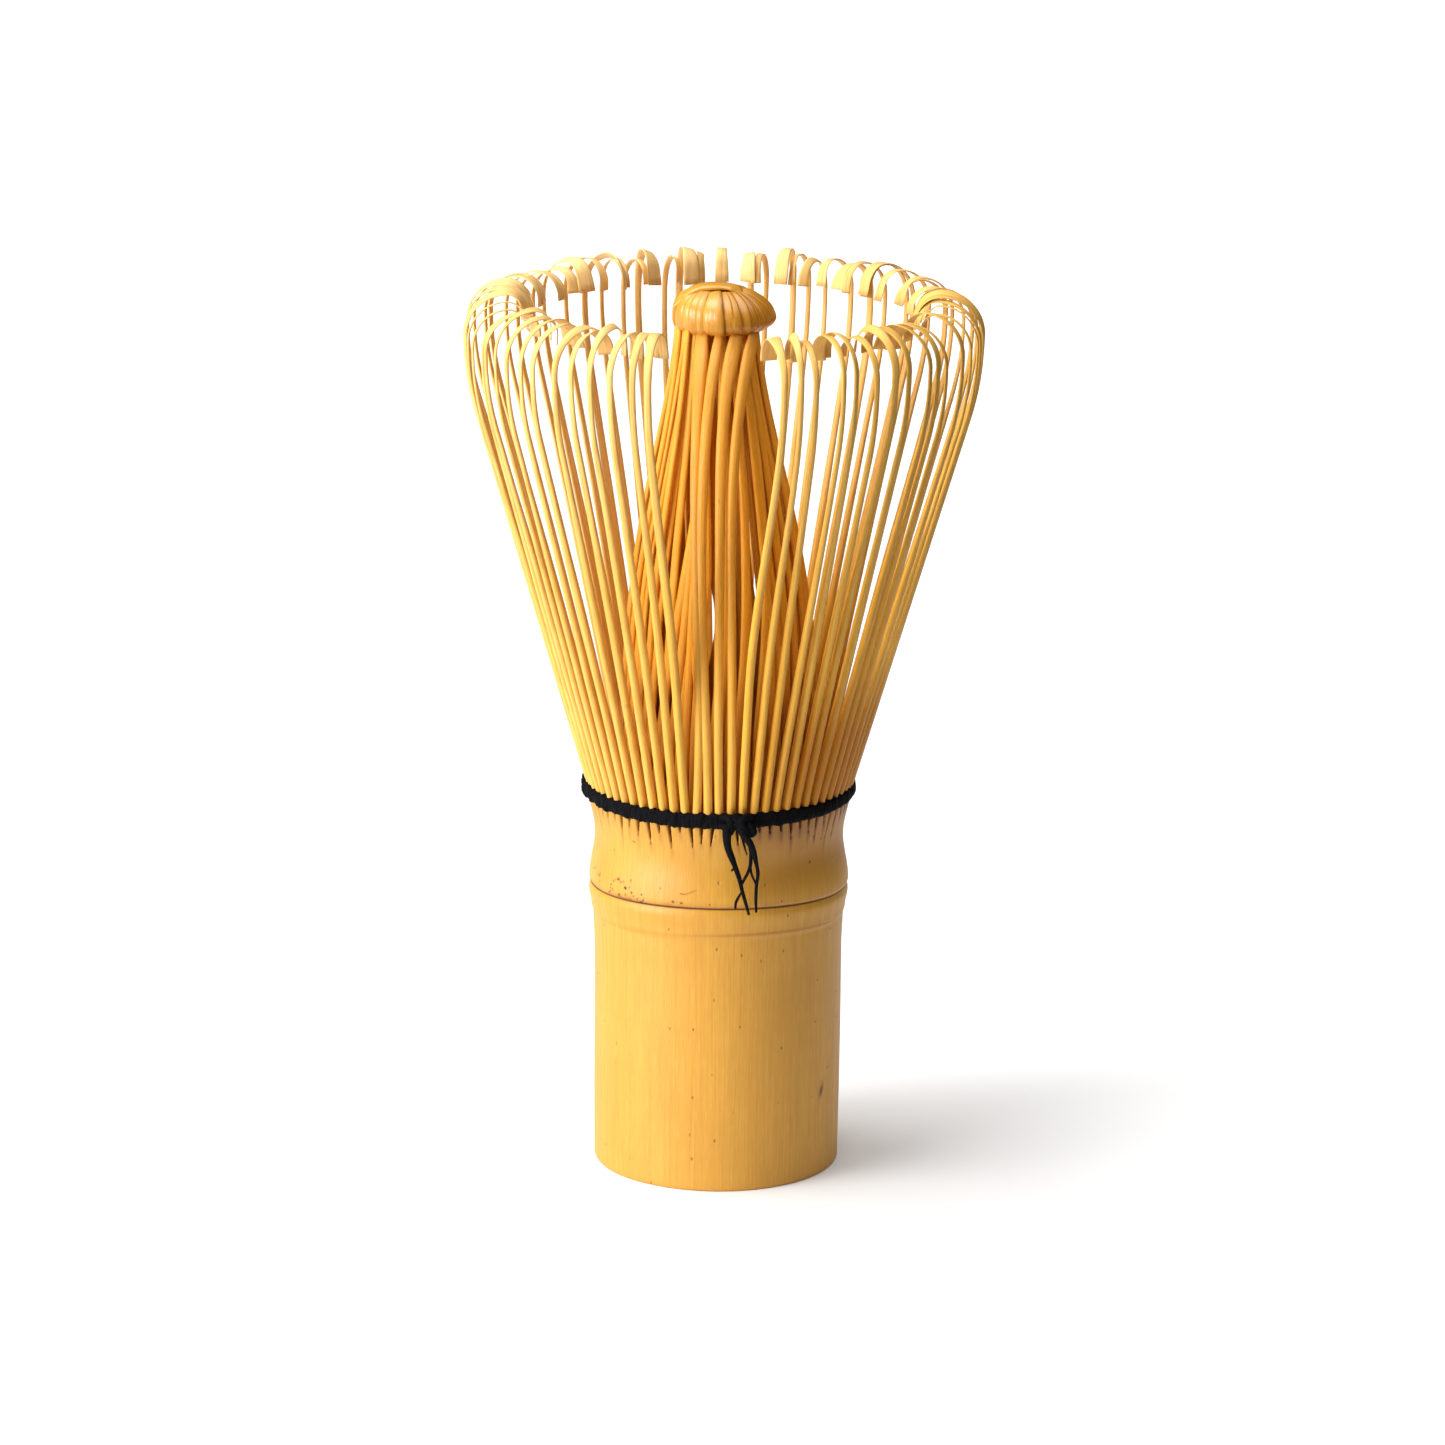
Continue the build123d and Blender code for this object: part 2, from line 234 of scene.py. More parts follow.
class Nodes:
    """A material's node tree, with short calls for the nodes that this scene uses."""

    def __init__(self, name, **sockets):
        self.material = bpy.data.materials.new(name)
        self.material.use_nodes = True
        self.tree = self.material.node_tree
        self.shader = self.tree.nodes["Principled BSDF"]
        for socket, value in sockets.items():
            self.shader.inputs[socket.replace("_", " ")].default_value = value

    def link(self, value, socket):
        if isinstance(value, bpy.types.NodeSocket):
            self.tree.links.new(value, socket)
        else:
            socket.default_value = value

    def attribute(self, name, output):
        node = self.tree.nodes.new("ShaderNodeAttribute")
        node.attribute_name = name
        return node.outputs[output]

    def math(self, operation, a, b=0.5, clamp=False):
        node = self.tree.nodes.new("ShaderNodeMath")
        node.operation = operation
        node.use_clamp = clamp
        self.link(a, node.inputs[0])
        self.link(b, node.inputs[1])
        return node.outputs[0]

    def span(self, value, low, high, to_low=0.0, to_high=1.0):
        node = self.tree.nodes.new("ShaderNodeMapRange")
        self.link(value, node.inputs["Value"])
        for socket, number in zip(("From Min", "From Max", "To Min", "To Max"), (low, high, to_low, to_high)):
            node.inputs[socket].default_value = number
        return node.outputs[0]

    def scaled(self, vector, scale):
        node = self.tree.nodes.new("ShaderNodeVectorMath")
        node.operation = "MULTIPLY"
        self.link(vector, node.inputs[0])
        node.inputs[1].default_value = scale
        return node.outputs[0]

    def noise(self, vector, scale, detail=3.0, roughness=0.55):
        node = self.tree.nodes.new("ShaderNodeTexNoise")
        self.link(vector, node.inputs["Vector"])
        node.inputs["Scale"].default_value = scale
        node.inputs["Detail"].default_value = detail
        node.inputs["Roughness"].default_value = roughness
        return node.outputs["Fac"]

    def cells(self, vector, scale, output):
        node = self.tree.nodes.new("ShaderNodeTexVoronoi")
        node.voronoi_dimensions = "2D"
        self.link(vector, node.inputs["Vector"])
        node.inputs["Scale"].default_value = scale
        return node.outputs[output]

    def red(self, colour):
        node = self.tree.nodes.new("ShaderNodeSeparateColor")
        self.link(colour, node.inputs[0])
        return node.outputs[0]

    def mix(self, factor, a, b, mode="MIX"):
        node = self.tree.nodes.new("ShaderNodeMix")
        node.data_type = "RGBA"
        node.blend_type = mode
        self.link(factor, node.inputs[0])
        self.link(a, node.inputs[6])
        self.link(b, node.inputs[7])
        return node.outputs[2]

    def bump(self, height, strength, distance):
        node = self.tree.nodes.new("ShaderNodeBump")
        node.inputs["Strength"].default_value = strength
        node.inputs["Distance"].default_value = distance
        self.link(height, node.inputs["Height"])
        return node.outputs[0]

    def finish(self, colour, roughness=None, normal=None):
        self.link(colour, self.shader.inputs["Base Color"])
        if roughness is not None:
            self.link(roughness, self.shader.inputs["Roughness"])
        if normal is not None:
            self.link(normal, self.shader.inputs["Normal"])
        return self.material


def rgba(*colour):
    return (*colour, 1.0)


def shaved_bamboo(name, pale, deep, tip, stain_and_shade, smoothest=0.34, **sockets):
    """Shaved strips: long fibre streaks, each its own shade. Tone runs from -1 to 1. Below 0 it leans to the
    colour for -1, which callers use for real stains and for painted shade; above 0 it leans to the tip
    colour, which is painted light through the outer tines' thin tips and painted shade in the knob's crease.
    """
    n = Nodes(name, **sockets)
    grain = n.attribute("grain", "Vector")
    tone = n.attribute("tone", "Fac")
    fibres = n.noise(n.scaled(grain, (5.0, 0.12, 3.1)), 1.0, 4.0, 0.6)
    patches = n.noise(n.scaled(grain, (0.25, 0.07, 7.3)), 1.0, 2.0)
    strips = n.noise(n.scaled(grain, (0.0, 0.0, 1.37)), 1.0, 0.0)
    shade = n.math("ADD", n.span(fibres, 0.25, 0.75, -0.15, 0.3), n.span(patches, 0.3, 0.7, 0.0, 0.4))
    shade = n.math("ADD", shade, n.span(strips, 0.3, 0.7, -0.1, 0.5))
    colour = n.mix(n.math("MULTIPLY", shade, 0.9, clamp=True), rgba(*pale), rgba(*deep))
    colour = n.mix(n.span(tone, 0.0, 1.0), colour, rgba(*tip))
    colour = n.mix(n.span(tone, 0.0, -1.0), colour, rgba(*stain_and_shade))
    hairs = n.noise(n.scaled(grain, (6.5, 0.2, 5.3)), 1.0, 2.0, 0.6)
    colour = n.mix(n.span(hairs, 0.48, 0.66, 0.0, 0.42), colour, rgba(*[0.72 * c for c in deep]))
    flecks = n.noise(n.scaled(grain, (2.2, 0.5, 1.7)), 1.0, 2.0)
    colour = n.mix(n.span(flecks, 0.70, 0.79, 0.0, 0.3), colour, rgba(0.28, 0.12, 0.03))
    roughness = n.span(fibres, 0.2, 0.8, smoothest, smoothest + 0.18)
    normal = n.bump(n.math("ADD", fibres, n.math("MULTIPLY", hairs, 0.5)), 0.45, 0.0001)
    return n.finish(colour, roughness, normal)


def culm_skin(name):
    """The culm's skin: a satin gold with lengthwise fibres, brown pits, and stains and painted shade where
    tone says so.
    """
    n = Nodes(name, Specular_IOR_Level=0.5)
    grain = n.attribute("grain", "Vector")
    tone = n.attribute("tone", "Fac")
    fibres = n.noise(n.scaled(grain, (3.2, 0.05, 1.0)), 1.0, 6.0, 0.62)
    hairs = n.noise(n.scaled(grain, (9.0, 0.35, 1.0)), 1.0, 3.0, 0.6)
    clouds = n.noise(n.scaled(grain, (0.16, 0.07, 1.0)), 1.0, 3.0)
    colour = n.mix(n.span(clouds, 0.3, 0.7), rgba(0.65, 0.325, 0.035), rgba(0.59, 0.282, 0.027))
    colour = n.mix(n.span(fibres, 0.38, 0.7, 0.0, 0.6), colour, rgba(0.5, 0.212, 0.018))
    colour = n.mix(n.span(hairs, 0.52, 0.7, 0.0, 0.4), colour, rgba(0.74, 0.42, 0.07))
    cells = n.scaled(grain, (0.36, 0.25, 1.0))
    lots = n.red(n.cells(cells, 1.0, "Color"))
    near = n.span(n.cells(cells, 1.0, "Distance"), 0.03, 0.062, 1.0, 0.0)
    pit = n.math("MULTIPLY", near, n.span(lots, 0.7, 0.9))
    colour = n.mix(n.math("MULTIPLY", pit, 0.65), colour, rgba(0.2, 0.06, 0.006))
    # Tone darkens the skin to brown, then near black: real flecks, marks and stains, and painted shade in the
    # kerfs, under the ridge and on the collar's shaded side.
    colour = n.mix(n.span(tone, 0.0, 0.5), colour, rgba(0.4, 0.15, 0.012))
    colour = n.mix(n.span(tone, 0.4, 1.0), colour, rgba(0.035, 0.012, 0.004))
    roughness = n.span(fibres, 0.2, 0.8, 0.44, 0.58)
    height = n.math("ADD", n.math("MULTIPLY", fibres, 0.6), n.math("MULTIPLY", pit, -0.8))
    return n.finish(colour, roughness, n.bump(height, 0.5, 0.00014))


def cotton_thread(name):
    """Black felted cotton thread, matt, with a faint cool bloom of loose fibre."""
    n = Nodes(name, Specular_IOR_Level=0.07)
    grain = n.attribute("grain", "Vector")
    plies = n.noise(n.scaled(grain, (4.0, 3.0, 5.0)), 1.0, 5.0, 0.7)
    colour = n.mix(n.span(plies, 0.4, 0.75), rgba(0.0015, 0.0015, 0.002), rgba(0.007, 0.007, 0.01))
    return n.finish(colour, n.span(plies, 0.2, 0.8, 0.5, 0.8), n.bump(plies, 0.9, 0.0002))


def pith(name):
    """The pale, matt inside of the culm."""
    n = Nodes(name)
    place = n.tree.nodes.new("ShaderNodeTexCoord").outputs["Object"]
    spots = n.noise(n.scaled(place, (900.0, 900.0, 900.0)), 1.0, 4.0)
    colour = n.mix(n.span(spots, 0.3, 0.7), rgba(0.66, 0.44, 0.2), rgba(0.45, 0.25, 0.09))
    return n.finish(colour, n.span(spots, 0.2, 0.8, 0.6, 0.85), n.bump(spots, 0.4, 0.0003))


SKIN = culm_skin("culm_skin")
PITH = pith("pith")
THREAD = cotton_thread("cotton_thread")
# For the outer tines, the tip colour is painted light through their thin tips, and the colour for tone -1 is
# painted shade low on their shaded right.
OUTER_SHADES = {"pale": (0.82, 0.45, 0.07), "deep": (0.7, 0.33, 0.026), "tip": (0.96, 0.65, 0.27)}
OUTER_BAMBOO = shaved_bamboo(
    "outer_tine_bamboo", **OUTER_SHADES, stain_and_shade=(0.47, 0.145, 0.003),
    Specular_IOR_Level=0.42, Specular_Tint=rgba(1.0, 0.75, 0.4),
)
GATHERED_BAMBOO = shaved_bamboo(
    "gathered_tine_bamboo", **OUTER_SHADES, stain_and_shade=(0.82, 0.345, 0.034), Specular_IOR_Level=0.42
)
# The inner tines' colour for tone -1 is painted shade, at their roots and on the shaded right.
INNER_BAMBOO = shaved_bamboo(
    "inner_tine_bamboo", pale=(0.93, 0.43, 0.034), deep=(0.82, 0.325, 0.018), tip=(0.9, 0.48, 0.065),
    stain_and_shade=(0.33, 0.095, 0.004), Specular_IOR_Level=0.25,
)
# On the knob, the tip colour is painted shade: the dark of its crease and of the ball where it shows between
# the ribbons.
# Its colour for tone -1 is painted shade on the knob's right, the shaded side.
KNOB_BAMBOO = shaved_bamboo(
    "knob_bamboo", pale=(0.79, 0.39, 0.055), deep=(0.62, 0.255, 0.016), tip=(0.16, 0.06, 0.008),
    stain_and_shade=(0.5, 0.175, 0.006), smoothest=0.22, Specular_IOR_Level=0.75,
)


# ---------------------------------------------------------------- handle and collar

FOOT_RADIUS = 14.75
HANDLE_RADIUS = 14.85
BORE_RADIUS = 11.5
BORE_DEPTH = 33.6
SEAT_RADIUS = 12.6
RIDGE_DROP = 3.0
NODE_RADIUS = 15.55
NECK_RADIUS = 14.88
NECK_HEIGHT = 40.6
COLLAR_RIM_RADIUS = 15.72
NODE_SAG = 0.35

# A dark, slanted scar low on the right of the handle.
SCAR_BEARING = 58
SCAR_HEIGHT = 10.6
HANDLE_DEGREE = 0.26  # millimetres of skin in a degree


def roughened(bearing, height, size, scale, seed):
    """Gentle unevenness over the skin, the same at 0 and 360 degrees."""
    a = np.radians(bearing)
    x, y, z = np.broadcast_arrays(np.sin(a) * scale, np.cos(a) * scale, height / 12 + seed)
    flat = [noise.noise(Vector(p)) for p in zip(x.ravel(), y.ravel(), z.ravel())]
    return size * np.array(flat).reshape(x.shape)


def node_line(bearing):
    """How far the node's groove dips at the sides of the culm."""
    return -NODE_SAG * (1 - np.cos(2 * np.radians(bearing)))


def handle_outside(z):
    """The handle's outer radius at a height."""
    ridge = NODE_HEIGHT - RIDGE_DROP
    return between(z, [
        (-1, FOOT_RADIUS), (9, FOOT_RADIUS + 0.05), (22, HANDLE_RADIUS), (26.5, HANDLE_RADIUS + 0.02),
        (ridge - 1.2, HANDLE_RADIUS + 0.16), (ridge, HANDLE_RADIUS + 0.42), (NODE_HEIGHT - 0.9, NODE_RADIUS),
        (NODE_HEIGHT, NODE_RADIUS - 0.18),
    ])


def handle_piece():
    """The handle: an open bore, a low ridge and, over it, the node's swelling with a dark edge."""
    rise = np.concatenate([np.linspace(0.25, 26, 60), np.linspace(26.3, NODE_HEIGHT - 0.02, 50)])
    outer = [(handle_outside(z), z) for z in rise]
    foot = [
        (BORE_RADIUS, 0.25), (BORE_RADIUS + 0.25, 0.0),
        (FOOT_RADIUS - 0.22, 0.0), (FOOT_RADIUS - 0.06, 0.07),
    ]
    top = [(SEAT_RADIUS, NODE_HEIGHT - 0.02), (SEAT_RADIUS, BORE_DEPTH), (BORE_RADIUS, BORE_DEPTH)]
    inner = [(BORE_RADIUS, z) for z in np.linspace(BORE_DEPTH - 1.1, 1.0, 12)]

    def shape(bearing, r, z):
        outside = smooth((r - 14.0) / 0.3)
        upper = smooth((z - 27) / 8)
        rough = roughened(bearing, z, 0.07, 1.3, 3.0)
        return r + outside * rough, z + outside * upper * node_line(bearing)

    def tone(bearing, r, z):
        top_edge = smooth((z - node_line(bearing) - (NODE_HEIGHT - 0.24)) / 0.2)
        # Under the ridge, a line of painted shade: faint all round and stronger on the right, the shaded
        # side.
        ridge = NODE_HEIGHT - RIDGE_DROP - 0.45 + 0.25 * np.sin(np.radians(2 * bearing + 30))
        below = (z - node_line(bearing) - ridge) / 0.16
        right = smooth((np.sin(np.radians(bearing)) + 0.35) / 0.6)
        line = (0.1 + 0.4 * right) * bell(below)
        up = z - SCAR_HEIGHT
        aside = (bearing - SCAR_BEARING) * HANDLE_DEGREE - 0.3 * up
        scar = 1.1 * bell(np.hypot(aside / 0.34, up / 0.75))
        return np.clip(np.maximum(0.8 * top_edge, line) + scar, 0, 1) * (r > 14.0)

    form = Form()
    revolve(form, foot + outer + top + inner, 360, shape, tone)
    piece = form.piece("handle_culm_skin", SKIN)
    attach(piece, "handle")
    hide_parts("handle_culm")


def collar_outside(z):
    """The collar's outer radius at a height: a waist above the node line."""
    return between(z, [
        (NODE_HEIGHT - 0.1, NODE_RADIUS - 0.2), (NODE_HEIGHT + 0.45, NODE_RADIUS), (NECK_HEIGHT, NECK_RADIUS),
        (COLLAR_TOP + 2.2, COLLAR_RIM_RADIUS + 0.42),
    ])


# The slot between the two rings of tine roots, and the kerfs that part the tines.
SLOT_OUTSIDE = 14.3
SLOT_INSIDE = 13.1
SLOT_FLOOR = 45.0
KERF_HALF_WIDTH = 0.3
KERF_STEPS = 14
KERF_RADIUS = 15.3
KERF_DEPTHS = (0.8, 1.2, 1.6, 2.2, 3.0)
KERF_LEAN = 0.12
SKIN_DEGREE = 0.27  # millimetres of skin in a degree

# Brown flecks on the collar, as the bearing, height, spread and number of each cluster, and one
# curved scratch, as bearings and heights.
FLECKS = [
    (-74.5, 37.1, 0.15, 2), (-67.4, 36.5, 0.35, 4), (-50.4, 37.2, 0.5, 7), (-44.2, 36.6, 0.3, 5),
    (-42, 36.2, 0.2, 2), (-56.2, 35.7, 0.45, 5), (-49, 35.5, 0.4, 3), (-36.3, 35.5, 0.55, 7),
    (-35.8, 36.2, 0.15, 2), (-17.5, 36.0, 0.35, 4), (-3.8, 36.0, 0.08, 1), (-41.7, 42.4, 0.12, 2),
    (-56.6, 40.5, 0.1, 1), (-26.5, 37.4, 0.06, 1), (28.8, 35.9, 0.1, 2), (46.5, 39.9, 0.1, 1),
    (52.9, 42.4, 0.1, 1), (96, 37.0, 0.4, 4), (130, 36.2, 0.4, 5), (171, 38.1, 0.4, 4),
    (212, 36.8, 0.5, 6), (240, 36.1, 0.4, 5),
]
SCRATCH = [(-17, 37.1), (-15, 37.05), (-12.5, 37.3), (-9.9, 37.6)]


def flecks():
    """Each fleck's bearing, height, breadth, length and darkness."""
    found = [(*point, 0.11, 0.09, 0.45) for point in curve_through(SCRATCH, 14)]
    for bearing, height, spread, number in FLECKS:
        for _ in range(number):
            aside, up = random.gauss(0, spread), random.gauss(0, 0.6 * spread)
            found.append((
                bearing + aside / SKIN_DEGREE, height + up,
                random.uniform(0.09, 0.22), random.uniform(0.09, 0.17), random.uniform(0.5, 0.95),
            ))
    return found


def collar_piece():
    """The collar, with each kerf a narrow V that opens upwards and painted shade inside it, and brown specks
    above the node line.
    """
    random.seed(COLLAR_SEED)
    outer = [(collar_outside(z), z) for z in np.linspace(NODE_HEIGHT, COLLAR_TOP, 96)]
    slot = [
        (SLOT_OUTSIDE, COLLAR_TOP), (SLOT_OUTSIDE, SLOT_FLOOR),
        (SLOT_INSIDE, SLOT_FLOOR), (SLOT_INSIDE, COLLAR_TOP),
    ]
    bore = [(BORE_RADIUS, z) for z in (COLLAR_TOP, *np.linspace(SLOT_FLOOR, NODE_HEIGHT, 6))]
    depths = [random.choice(KERF_DEPTHS) + random.uniform(-0.3, 0.4) for _ in range(TINE_COUNT)]
    ends = BAND_LOW - np.array(depths)
    leans = np.array([random.uniform(-KERF_LEAN, KERF_LEAN) for _ in range(TINE_COUNT)])
    spots = flecks()

    def beside(bearing, z):
        """The nearest kerf, and how far a point is from its middle line, in millimetres."""
        index = np.floor(bearing / TINE_PITCH).astype(int) % TINE_COUNT
        aside = np.radians(bearing - (index + 0.5) * TINE_PITCH) * KERF_RADIUS
        return index, np.abs(aside + leans[index] * (COLLAR_TOP - z))

    def kerf(bearing, z):
        """How deep in a kerf a point is, from 0 on the skin to 1 in its middle."""
        index, across = beside(bearing, z)
        up = np.clip((z - ends[index]) / (COLLAR_TOP - ends[index]), 0, 1)
        half = KERF_HALF_WIDTH * up**0.75
        return np.clip(1 - across / np.maximum(half, 1e-3), 0, 1) * (z > ends[index])

    def streak(bearing, z):
        """A brown streak that runs down from a kerf's end."""
        index, across = beside(bearing, z)
        run = (ends[index] - z) / (0.6 + 2.2 * np.abs(leans[index]) / KERF_LEAN)
        return 0.3 * bell(across / 0.22) * smooth(1 - run) * (z < ends[index] + 0.5)

    def shape(bearing, r, z):
        outside = smooth((r - 14.5) / 0.2)
        lower = 1 - smooth((z - NODE_HEIGHT) / 7)
        land = smooth((z - 43.2) / 3) * 0.13 * (1 - np.cos(np.radians(bearing * TINE_COUNT))) / 2
        moved = r + outside * (roughened(bearing, z, 0.09, 1.6, 9.0) - 0.8 * kerf(bearing, z) - land)
        return moved, z + outside * lower * node_line(bearing)

    def tone(bearing, r, z):
        skin = smooth((r - 13.5) / 0.2) * (r > 13.6)
        above = z - node_line(bearing) - NODE_HEIGHT
        line = 0.9 * (1 - smooth((above - 0.05) / 0.2))
        left = (1 - np.sin(np.radians(bearing - 20))) / 2
        # Just above the node line the skin darkens, mottled brown on the left.
        smudge = 0.2 + 0.6 * left * np.maximum(roughened(bearing, 6 * z, 1.6, 9.0, 40.0), 0)
        stain_and_shade = smudge * (1 - smooth((above - 0.1) / 0.9))
        # Painted shade inside the kerfs, darker near the band.
        kerf_shade = (0.55 + 0.35 * left) * smooth(kerf(bearing, z) * 1.9) * smooth((z - 41) / 2.5)
        # Painted shade: the collar darkens on its right, the shaded side, and just under the band all round,
        # with a little noise in it.
        right = smooth((np.sin(np.radians(bearing)) + 0.05) / 0.55)
        brown = 0.27 * right * smooth((z - 35.5) / 4) + 0.1 * right * smooth((z - 41.5) / 2.5)
        brown = brown + 0.07 * smooth((z - 42.5) / 2) + roughened(bearing, 3 * z, 0.07, 2.6, 70.0)
        dark = np.maximum(line, stain_and_shade) + kerf_shade + np.maximum(brown, 0) + streak(bearing, z)
        for at, height, breadth, length, darkness in spots:
            away = (np.mod(bearing - at + 180, 360) - 180) * SKIN_DEGREE
            dark = dark + darkness * bell((away / breadth) ** 2 + ((z - height) / length) ** 2)
        return np.clip(dark, 0, 1) * skin

    form = Form()
    revolve(form, outer + slot + bore, TINE_COUNT * KERF_STEPS, shape, tone)
    piece = form.piece("tine_collar_skin", SKIN)
    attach(piece, "handle")
    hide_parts("tine_collar")


def diaphragm_look():
    """The node's cross wall keeps its CAD shape and looks like pith."""
    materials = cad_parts["node_diaphragm"].data.materials
    materials.clear()
    materials.append(PITH)


# ---------------------------------------------------------------- outer tines

OUTER_ROOT_RADIUS = 15.45
OUTER_FACE = 0.35
OUTER_LEAN = 16.4
OUTER_RUN = 47.5
SHOULDER_RADIUS = 34.0
BROW_RADIUS = 4.8
HOOK_RADIUS = 2.6
ROOT_HEIGHT = 46.25
TIP_HEIGHT = 102.75

# How far each of the first tines beside the gathered ones stands away from them at its top.
SPREAD = {2: 1.7, 3: 1.0, 4: 0.4, 69: -0.9, 68: -0.4}


def outer_profile(lean, run, brow, hook, hook_turn, tip_height):
    """Stations of a tine's outer face: radius, height and lean, from the root to the cut tip."""
    stations = []
    r, z = OUTER_ROOT_RADIUS + OUTER_FACE, ROOT_HEIGHT
    for s in np.concatenate([[-0.35], np.linspace(0.4, run, 17)]):
        stations.append((r + s * sin(radians(lean)), z + s * cos(radians(lean)), lean))
    bends = [(SHOULDER_RADIUS, lean, 8), (brow, 90, 13), (hook, hook_turn, 9)]
    for bend, turn, steps in bends:
        r, z, start = stations[-1]
        middle = (r - bend * cos(radians(start)), z + bend * sin(radians(start)))
        for step in range(1, steps + 1):
            angle = start - turn * step / steps
            out, up = bend * cos(radians(angle)), -bend * sin(radians(angle))
            stations.append((middle[0] + out, middle[1] + up, angle))
    r, z, angle = stations[-1]
    end = min(max((tip_height - z) / cos(radians(angle)), 0.3), 2.5)
    for s in (end / 2, end):
        stations.append((r + s * sin(radians(angle)), z + s * cos(radians(angle)), angle))
    return np.array(stations)


# An outer tine's width, thickness and paleness, at distances along it; the paleness is painted light through
# the thinning strip.
OUTER_WIDTHS = [(0, 1.0), (30, 1.0), (45, 0.88), (56, 0.76), (61, 0.9), (65, 1.3), (69.4, 1.75)]
OUTER_THICKNESSES = [(0, 0.95), (20, 0.8), (45, 0.48), (56, 0.32), (62, 0.2), (68.8, 0.12)]
OUTER_TONES = [(0, 0.0), (28, 0.08), (45, 0.4), (56, 0.65), (63, 0.85), (69.4, 1.0)]


def outer_tone(bearing, along):
    """Paler towards the tip, painted light through the thinning strip, less so on the shaded right; paler
    still at the back and on the left, painted light through the back strips and on the lit side; darker low
    on the right, painted shade.
    """
    side = sin(radians(bearing))
    right = smooth(side / 0.8)
    left = smooth(-side / 0.8)
    back = smooth((0.1 - cos(radians(bearing))) / 0.6)
    stain_and_shade = smooth((side - 0.1) / 0.6) * (1 - smooth((along - 8) / 13))
    tone = between(along, OUTER_TONES) * (0.64 - 0.3 * right) * random.uniform(0.75, 1.15)
    tone = tone + 0.3 * back * smooth((along - 14) / 22) + 0.2 * left
    return np.clip(tone - random.uniform(0.75, 1.0) * stain_and_shade, -1, 1)


def outer_tine(form, place):
    """One outer tine, with its own small errors of hand: lean, drift, width, curl and twist."""
    bearing = place * TINE_PITCH
    lean = OUTER_LEAN - abs(random.gauss(0, 0.2))
    run = OUTER_RUN + random.gauss(0, 0.25)
    brow = BROW_RADIUS + random.uniform(-0.6, 0.35)
    hook = HOOK_RADIUS + random.uniform(-0.6, 0.4)
    hook_turn = random.uniform(70, 95)
    stations = outer_profile(lean, run, brow, hook, hook_turn, TIP_HEIGHT + random.gauss(0, 0.1))
    r, z, angle = stations.T
    angle = np.radians(angle)
    reach = np.linalg.norm(np.diff(stations[:, :2], axis=0), axis=1)
    along = np.concatenate([[0], np.cumsum(reach)])
    width = between(along, OUTER_WIDTHS) * (1 + random.uniform(-0.22, 0.2) * smooth(along / 50))
    width = width + random.uniform(-0.45, 0.4) * smooth((along - 60) / 8)
    thickness = between(along, OUTER_THICKNESSES)
    drift = random.gauss(0, 0.5) * smooth(along / 58) + random.gauss(0, 0.2) * np.sin(pi * along / 58)
    drift = drift + random.gauss(0, 0.35) * smooth((along - 58) / 9)
    drift = drift + SPREAD.get(place, 0) * smooth((along - 18) / 35)
    r = r - thickness / 2 * np.cos(angle)
    z = z + thickness / 2 * np.sin(angle)
    aside = polar(1.0, bearing + 90, 0.0)
    path = polar(r, bearing, z) + drift[:, None] * aside
    out = np.cos(angle)[:, None] * polar(1.0, bearing, 0.0) - np.sin(angle)[:, None] * UP
    twist = random.gauss(0, 4) * smooth(along / 35) + random.gauss(0, 10) * smooth((along - 42) / 16)
    twist = np.radians(twist + random.gauss(0, 16) * smooth((along - 60) / 7))
    side = np.cos(twist)[:, None] * aside + np.sin(twist)[:, None] * out
    tone = outer_tone(bearing, along)
    sweep(form, path, side, width, thickness, random.uniform(0, 100), tone)


def outer_pieces():
    """The outer ring, one piece for each group of tines that bends together."""
    random.seed(OUTER_SEED)
    per_group = (TINE_COUNT - len(GATHERED_PLACES)) // len(OUTER_GROUPS)
    for index, node in enumerate(OUTER_GROUPS):
        form = Form()
        first = FIRST_OUTER_PLACE + index * per_group
        for place in range(first, first + per_group):
            outer_tine(form, place)
        piece = form.piece(node + "_strips", OUTER_BAMBOO)
        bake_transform(piece)
        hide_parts(node)


# ---------------------------------------------------------------- gathered tines

GATHERED_ROOT_RADIUS = 15.4
GATHERED_LEAN = 12.0
GATHERED_RUN = 8.0
GATHERED_END_RADIUS = 5.7
GATHERED_END_PITCH = 2.0
GATHERED_END_OFFSET = 1.4
GATHERED_WIDTHS = (1.85, 1.3, 1.75, 1.7)
GATHERED_BOWS = (0.1, 0.6, 0.75, 0.3)


